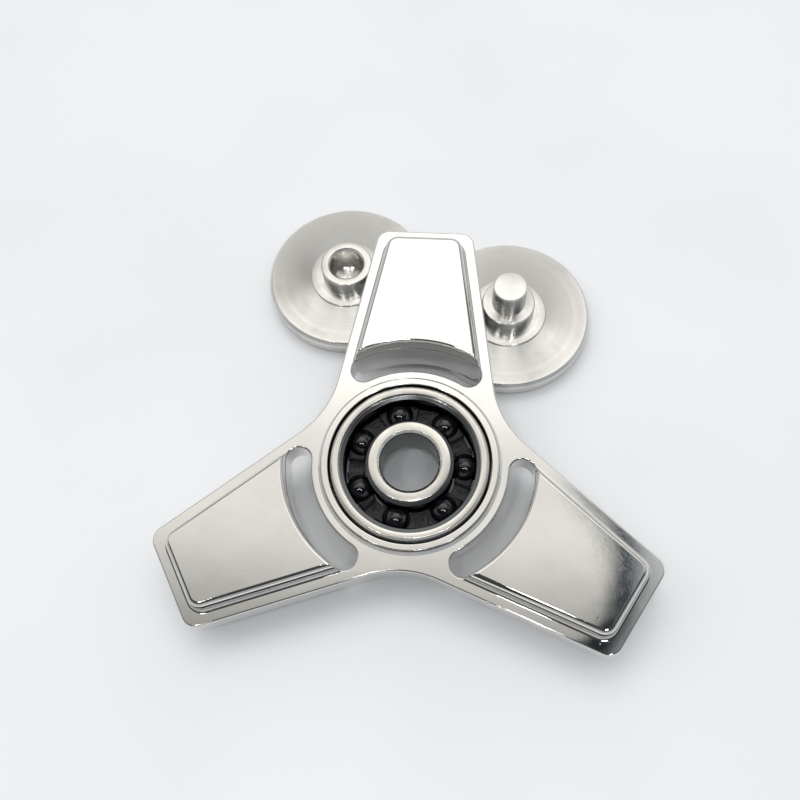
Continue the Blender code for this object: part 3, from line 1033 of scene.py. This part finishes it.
# ---------------------------------------------------------------- bearing
@dataclass
class OpenBearing:
    """The open hybrid bearing: two races, crown cage and ceramic balls."""

    axle: Axle
    outer: float = 11.0 * MM
    bore: float = 4.0 * MM
    half_width: float = 3.5 * MM
    pitch: float = 7.5 * MM
    ball: float = 1.9845 * MM
    ball_count: int = 7
    first_ball: float = math.radians(2.1)
    groove: float = 2.0645 * MM
    outer_land: float = 9.05 * MM
    outer_face: float = 9.65 * MM
    inner_face: float = 5.55 * MM
    inner_land: float = 6.0 * MM
    cage_inner: float = 6.35 * MM
    cage_outer: float = 8.7 * MM
    cage_base: float = 2.6 * MM
    cage_claw: float = 0.9 * MM
    cage_gap_floor: float = 1.0 * MM
    cage_gap: float = 1.3 * MM
    cage_gap_flare: float = 1.9
    cage_recess: float = 0.8 * MM
    pocket: float = 2.1 * MM

    def raceway(self, land: float, steps: int) -> list[Corner]:
        """Points of a race's groove, from its upper edge to its lower edge."""
        top = math.acos((land - self.pitch) / self.groove)
        low = FULL_TURN - top if land < self.pitch else -top
        corners = []
        for index in range(steps + 1):
            angle = top + (low - top) * index / steps
            corners.append(
                Corner(self.pitch + self.groove * math.cos(angle), self.groove * math.sin(angle))
            )
        return corners

    def outer_section(self) -> Outline:
        """Half section of the outer race, with its shield grooves."""
        half = self.half_width
        shelf = half - 0.75 * MM
        upper = [
            Corner(self.outer_land, shelf, 0.06 * MM, 2),
            Corner(self.outer_face + 0.02 * MM, shelf, 0.05 * MM, 2),
            Corner(self.outer_face, half, 0.09 * MM, 3),
            Corner(self.outer - 0.55 * MM, half, 0.15 * MM, 3),
            Corner(self.outer, half - 0.6 * MM, 0.25 * MM, 4),
        ]
        groove = list(reversed(self.raceway(self.outer_land, 20)))
        return Outline(tuple(upper + mirrored(upper) + groove), Plane.UPRIGHT)

    def inner_section(self) -> Outline:
        """Half section of the inner race, with its stepped shoulders."""
        half = self.half_width
        upper = [
            Corner(self.bore, half - 0.4 * MM, 0.12 * MM, 3),
            Corner(self.bore + 0.4 * MM, half, 0.1 * MM, 3),
            Corner(self.inner_face, half, 0.08 * MM, 3),
            Corner(self.inner_face, half - 0.6 * MM, 0.08 * MM, 2),
            Corner(self.inner_land, half - 0.8 * MM, 0.06 * MM, 2),
        ]
        groove = self.raceway(self.inner_land, 20)
        return Outline(tuple(upper + groove + mirrored(upper)), Plane.UPRIGHT)

    def ball_turn(self, index: float) -> Matrix:
        """Takes a shape from the middle of the bearing to a ball's place."""
        angle = self.first_ball + FULL_TURN * index / self.ball_count
        return Matrix.Rotation(angle, 4, "Z") @ Matrix.Translation((self.pitch, 0.0, 0.0))

    def cage_tool(self) -> bmesh.types.BMesh:
        """Everything that is cut out of the cage: pockets, gaps and moulding recesses."""
        work = bmesh.new()
        rise = self.cage_claw + 1.0 * MM + self.cage_gap_floor
        for index in range(self.ball_count):
            bmesh.ops.create_uvsphere(
                work, u_segments=40, v_segments=24, radius=self.pocket, matrix=self.ball_turn(index)
            )
            lift = Matrix.Translation((0.0, 0.0, rise / 2 - self.cage_gap_floor))
            gap = bmesh.ops.create_cube(work, size=1.0)
            bmesh.ops.scale(work, verts=gap["verts"], vec=(self.pitch, self.cage_gap, rise))
            outside = [vert for vert in gap["verts"] if vert.co.x > 0.0]
            bmesh.ops.scale(work, verts=outside, vec=(1.0, self.cage_gap_flare, 1.0))
            bmesh.ops.transform(work, verts=gap["verts"], matrix=self.ball_turn(index + 0.5) @ lift)
        return work

    def recess_tool(self) -> bmesh.types.BMesh:
        """The small square recesses in the floors of the cage's gaps."""
        work = bmesh.new()
        for index in range(self.ball_count):
            drop = Matrix.Translation((0.0, 0.0, -self.cage_gap_floor))
            pit = bmesh.ops.create_cube(work, size=self.cage_recess)
            bmesh.ops.transform(work, verts=pit["verts"], matrix=self.ball_turn(index + 0.5) @ drop)
        return work

    def cage(self) -> bmesh.types.BMesh:
        """The crown cage: a ring with ball pockets, claws and gaps."""
        section = Outline(
            (
                Corner(self.cage_inner, -self.cage_base, 0.2 * MM, 3),
                Corner(self.cage_outer, -self.cage_base, 0.2 * MM, 3),
                Corner(self.cage_outer, self.cage_claw, 0.15 * MM, 3),
                Corner(self.cage_inner, self.cage_claw, 0.15 * MM, 3),
            ),
            Plane.UPRIGHT,
        )
        ring = turned(section, SMALL_TURN)
        return carved(carved(ring, self.cage_tool()), self.recess_tool())

    def build(self) -> list[bpy.types.Object]:
        """Model and dress every piece of the bearing.

        Returns:
            The finished objects.
        """
        ground = TurnedSteel(
            self.axle,
            clean=(0.78, 0.76, 0.71),
            dull=(0.66, 0.64, 0.60),
            smooth=0.16,
            rough=0.30,
            spread=0.5,
            ring_height=0.0006 * MM,
            # painted shade on the bore wall, on the lands and grooves between the races, and on the
            # outer race's rim in its seat
            painted_shade_bands=(
                (0.0, self.bore + 0.12 * MM),
                (self.inner_face + 0.03 * MM, self.outer_face - 0.03 * MM),
                (self.outer - 0.3 * MM, 2.0 * self.outer),
            ),
        ).material("ground_race_steel")
        place = self.axle.matrix
        plastic = MouldedPlastic(self.axle, self.cage_gap_floor).material("cage_nylon")
        ceramic = BlackCeramic().material("ball_ceramic")
        made = [
            Piece("bearing_outer_race", "body", "outer_race", "race_steel").make(
                turned(self.outer_section(), WIDE_TURN), place, ground
            ),
            Piece("bearing_inner_race", "inner_race", "inner_race", "race_steel").make(
                turned(self.inner_section(), SMALL_TURN), place, ground
            ),
            Piece("crown_cage", "cage", "ball_cage", "cage_plastic").make(
                self.cage(), place, plastic
            ),
        ]
        for index in range(self.ball_count):
            name = f"ball_{index + 1}"
            work = bmesh.new()
            bmesh.ops.create_uvsphere(
                work, u_segments=48, v_segments=32, radius=self.ball, matrix=self.ball_turn(index)
            )
            piece = Piece("ceramic_" + name, name, name, "ball_ceramic")
            made.append(piece.make(work, place, ceramic))
        return made


# ---------------------------------------------------------------- finger buttons
class ButtonKind(Enum):
    """The two halves of the button pair."""

    SOCKET = "female_button"
    STUD = "male_button"


@dataclass
class FingerButton:
    """A turned finger disc with a shoulder and a boss that fits the bearing's bore."""

    kind: ButtonKind
    radius: float = 12.4 * MM
    thickness: float = 2.8 * MM
    edge: float = 0.4 * MM
    shoulder: float = 5.8 * MM
    shoulder_height: float = 0.3 * MM
    boss: float = 3.92 * MM
    boss_top: float = 6.1 * MM
    stud: float = 2.45 * MM
    stud_top: float = 10.5 * MM
    socket: float = 2.53 * MM
    socket_floor: float = 1.3 * MM

    @property
    def axle(self) -> Axle:
        """The button's own upright axis, from where its CAD node lies."""
        low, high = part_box(self.kind.value)
        centre = Vector(((low.x + high.x) / 2, (low.y + high.y) / 2, 0.0))
        return Axle(centre, Vector(UP))

    def middle(self) -> list[Corner]:
        """The section inside the boss, from the axis outwards: a drilled socket or a stud."""
        if self.kind is ButtonKind.SOCKET:
            return [
                Corner(0.0, self.socket_floor - 0.35 * MM),
                Corner(self.socket - 0.25 * MM, self.socket_floor),
                Corner(self.socket, self.socket_floor + 0.2 * MM),
                Corner(self.socket, self.boss_top - 0.3 * MM, 0.05 * MM, 2),
                Corner(self.socket + 0.3 * MM, self.boss_top, 0.05 * MM, 2),
            ]
        return [
            Corner(0.0, self.stud_top),
            Corner(self.stud - 0.15 * MM, self.stud_top, 0.04 * MM, 2),
            Corner(self.stud, self.stud_top - 0.15 * MM, 0.04 * MM, 2),
            Corner(self.stud, self.boss_top + 0.25 * MM, 0.04 * MM, 2),
            Corner(self.stud - 0.15 * MM, self.boss_top + 0.2 * MM),
            Corner(self.stud - 0.15 * MM, self.boss_top, 0.05 * MM, 2),
        ]

    def section(self) -> Outline:
        """Half section of the whole button, from the top of its axis to the bottom."""
        shoulder_top = self.thickness + self.shoulder_height
        rest = [
            Corner(self.boss, self.boss_top, 0.2 * MM, 4),
            Corner(self.boss, shoulder_top + 0.12 * MM),
            Corner(self.boss - 0.12 * MM, shoulder_top),
            Corner(self.shoulder, shoulder_top, 0.12 * MM, 3),
            Corner(self.shoulder, self.thickness, 0.05 * MM, 2),
            Corner(self.radius - self.edge, self.thickness, 0.06 * MM, 2),
            Corner(self.radius, self.thickness - self.edge, 0.06 * MM, 2),
            Corner(self.radius, self.edge, 0.15 * MM, 3),
            Corner(self.radius - self.edge, 0.0, 0.15 * MM, 3),
            Corner(0.0, 0.0),
        ]
        return Outline(tuple(self.middle() + rest), Plane.UPRIGHT, closed=False)

    def build(self) -> bpy.types.Object:
        """Model and dress the button.

        Returns:
            The finished object.
        """
        name = "socket_button" if self.kind is ButtonKind.SOCKET else "stud_button"
        piece = Piece(name, self.kind.value, self.kind.value, "button_steel")
        material = TurnedSteel(self.axle, dull=(0.62, 0.61, 0.59)).material(name + "_steel")
        return piece.make(turned(self.section(), WIDE_TURN), self.axle.matrix, material)


# ---------------------------------------------------------------- studio
@dataclass(frozen=True)
class Lamp:
    """An area light: its place, its size across and its power in watts."""

    name: str
    place: tuple[float, float, float]
    size: float
    power: float
    tint: Colour = (1.0, 1.0, 1.0)
    glints: bool = False

    def build(self) -> bpy.types.Object:
        """Make the light, turned towards the origin."""
        data = bpy.data.lights.new(self.name, "AREA")
        data.shape = "DISK"
        data.size = self.size
        data.energy = self.power
        data.color = self.tint
        obj = placed(self.name, data)
        obj.location = self.place
        obj.rotation_euler = (-Vector(self.place)).to_track_quat("-Z", "Y").to_euler()
        obj.visible_glossy = self.glints
        return obj


@dataclass(frozen=True)
class SoftRoom:
    """What polished steel mirrors, by direction: x to the right, y to the back and z up.

    A span is the stretch of one of these over which a part of the room fades in. Mirrored,
    the ceiling is cream and bright behind, with a dark panel to the right and dark low
    walls. Seen directly, the room is one plain pale backdrop.
    """

    backdrop: float = 0.86
    ceiling: Span = (0.52, 0.64)
    ceiling_tint: Colour = (1.0, 0.985, 0.95)
    front: float = 0.06
    middle: Span = (-0.10, 0.05)
    middle_light: float = 0.50
    back: Span = (0.02, 0.12)
    back_light: float = 0.36
    window: Span = (0.18, 0.30)
    window_height: Span = (0.66, 0.78)
    window_light: float = 0.50
    sides: Span = (0.25, 0.50)
    side_back: Span = (0.25, 0.40)
    side_loss: float = 0.6
    overhead: Span = (0.66, 0.84)
    overhead_light: float = 0.55
    wall: Span = (0.00, 0.14)
    wall_light: float = 0.62
    wall_foot: float = 0.04
    wall_tint: Colour = (0.97, 0.985, 1.0)
    front_wall: Span = (0.10, 0.40)
    front_wall_loss: float = 0.18
    panel_middle: Span = (0.06, 0.075)
    panel_inside: Span = (0.102, 0.108)
    panel_outside: Span = (0.130, 0.140)
    panel_outside_loss: float = 0.75
    panel_right: Span = (0.10, 0.14)
    panel_back: Span = (0.14, 0.24)
    panel_loss: float = 0.94
    panel_tint: Colour = (0.62, 0.80, 1.0)

    def panel(self, across: Signal, along: Signal) -> Signal:
        """How far a direction is covered by the dark panel, which has a curved inner edge."""
        right, back = self.panel_middle
        away = ((across - right) ** 2.0 + (along - back) ** 2.0) ** 0.5
        thinner = away.between(*self.panel_outside) * self.panel_outside_loss
        cover = away.between(*self.panel_inside) * (1.0 - thinner)
        return cover * across.between(*self.panel_right) * (1.0 - along.between(*self.panel_back))

    def ceiling_level(self, across: Signal, along: Signal, up: Signal) -> Signal:
        """How bright the ceiling is, before the panel covers it."""
        aside = self.aside(across)
        level = self.front + along.between(*self.middle) * self.middle_light
        level = level + along.between(*self.back) * self.back_light
        window = along.between(*self.window) * up.between(*self.window_height)
        return level + window * (1.0 - aside) * self.window_light

    def aside(self, across: Signal) -> Signal:
        """How far a direction points to the left or the right."""
        return across.kit.maths("ABSOLUTE", across).between(*self.sides)

    def wall_level(self, along: Signal, up: Signal) -> Signal:
        """How bright the walls are: dark at their foot, and darker in front than behind."""
        front = (0.0 - along).between(*self.front_wall) * self.front_wall_loss
        return self.wall_foot + up.between(*self.wall) * (self.wall_light - front)

    def world(self) -> bpy.types.World:
        """Build the room's light.

        Returns:
            The world.
        """
        world = bpy.data.worlds.new("soft_room")
        world.use_nodes = True
        kit = NodeWriter(world.node_tree)
        split = kit.node("ShaderNodeSeparateXYZ", {}, {0: kit.way()}, "X")
        across, along, up = (Signal(kit, split.socket.node.outputs[axis]) for axis in "XYZ")
        panel = self.panel(across, along)
        side_back = self.aside(across) * along.between(*self.side_back) * self.side_loss
        level = self.ceiling_level(across, along, up)
        level = level * (1.0 - panel * self.panel_loss) * (1.0 - side_back)
        overhead = up.between(*self.overhead) * self.overhead_light
        level = level * (1.0 - self.overhead_light + overhead)
        ceiling = up.between(*self.ceiling)
        level = level * ceiling + (1.0 - ceiling) * self.wall_level(along, up)
        direct = kit.node("ShaderNodeLightPath", {}, {}, "Is Camera Ray")
        level = level * (1.0 - direct) + direct * self.backdrop
        tint = kit.blend(ceiling, self.wall_tint, self.ceiling_tint)
        background = kit.tree.nodes["Background"]
        kit.feed(background.inputs["Color"], kit.blend(panel, tint, self.panel_tint))
        kit.feed(background.inputs["Strength"], level)
        return world


@dataclass
class Studio:
    """Pale table, soft room light, three small ceiling lamps and the camera."""

    bearing: Axle
    soft_room: SoftRoom = field(default_factory=SoftRoom)
    table_size: float = 2.4
    camera_place: tuple[float, float, float] = (7.067 * MM, -31.472 * MM, 120.192 * MM)
    camera_aim: tuple[float, float, float] = (-1.974 * MM, 9.094 * MM, 2.15 * MM)
    camera_up: tuple[float, float, float] = (-0.05006, 0.94334, 0.32802)
    camera_view: float = math.radians(48.0)
    lamps: tuple[Lamp, ...] = (
        Lamp("ceiling_panel", (0.0, 0.3, 1.2), 4.0, 17.5),
        Lamp("overhead_softbox", (-0.25, 0.75, 1.5), 1.1, 4.0),
        Lamp("side_softbox", (-1.1, 0.1, 1.0), 0.7, 1.5, (0.96, 0.98, 1.0)),
        Lamp("ceiling_lamp_left", (-0.38, -0.42, 1.5), 0.14, 1.6, glints=True),
        Lamp("ceiling_lamp_right", (0.36, -0.48, 1.5), 0.14, 1.6, glints=True),
        Lamp("ceiling_lamp_back", (0.02, -0.32, 1.5), 0.12, 1.2, glints=True),
    )

    def table(self) -> bpy.types.Object:
        """Make the table top."""
        work = bmesh.new()
        bmesh.ops.create_grid(work, x_segments=1, y_segments=1, size=self.table_size / 2)
        mesh = bpy.data.meshes.new("table_top")
        work.to_mesh(mesh)
        work.free()
        mesh.materials.append(TableSheet().material("table_sheet"))
        obj = placed("table_top", mesh)
        return obj

    def camera(self) -> bpy.types.Object:
        """Make the camera, looking down from in front."""
        place = self.bearing.matrix
        eye = place @ Vector(self.camera_place)
        forward = (place @ Vector(self.camera_aim) - eye).normalized()
        right = forward.cross(place.to_3x3() @ Vector(self.camera_up)).normalized()
        upwards = right.cross(forward)
        data = bpy.data.cameras.new("camera")
        data.angle = self.camera_view
        data.clip_start = 0.01
        obj = placed("camera", data)
        turn = Matrix((right, upwards, -forward)).transposed()
        obj.matrix_world = Matrix.Translation(eye) @ turn.to_4x4()
        bpy.context.scene.camera = obj
        return obj

    def build(self) -> None:
        """Set up the table, the lights and the camera."""
        self.table()
        bpy.context.scene.world = self.soft_room.world()
        for lamp in self.lamps:
            lamp.build()
        self.camera()
        bpy.context.scene.view_settings.view_transform = "Standard"
        LOG.info("studio: %d lights", len(self.lamps))


def main() -> None:
    """Build the whole object and its studio."""
    logging.basicConfig(level=logging.INFO, format="%(name)s %(message)s")
    spin = next(joint for joint in frame["joints"] if joint["name"] == "inner_race_spin")
    bearing = Axle(Vector(spin["pos_m"]), Vector(spin["axis"]).normalized())
    Studio(bearing).build()
    ThreeArmBody(bearing).build()
    OpenBearing(bearing).build()
    for kind in ButtonKind:
        FingerButton(kind).build()


if __name__ == "__main__":
    main()
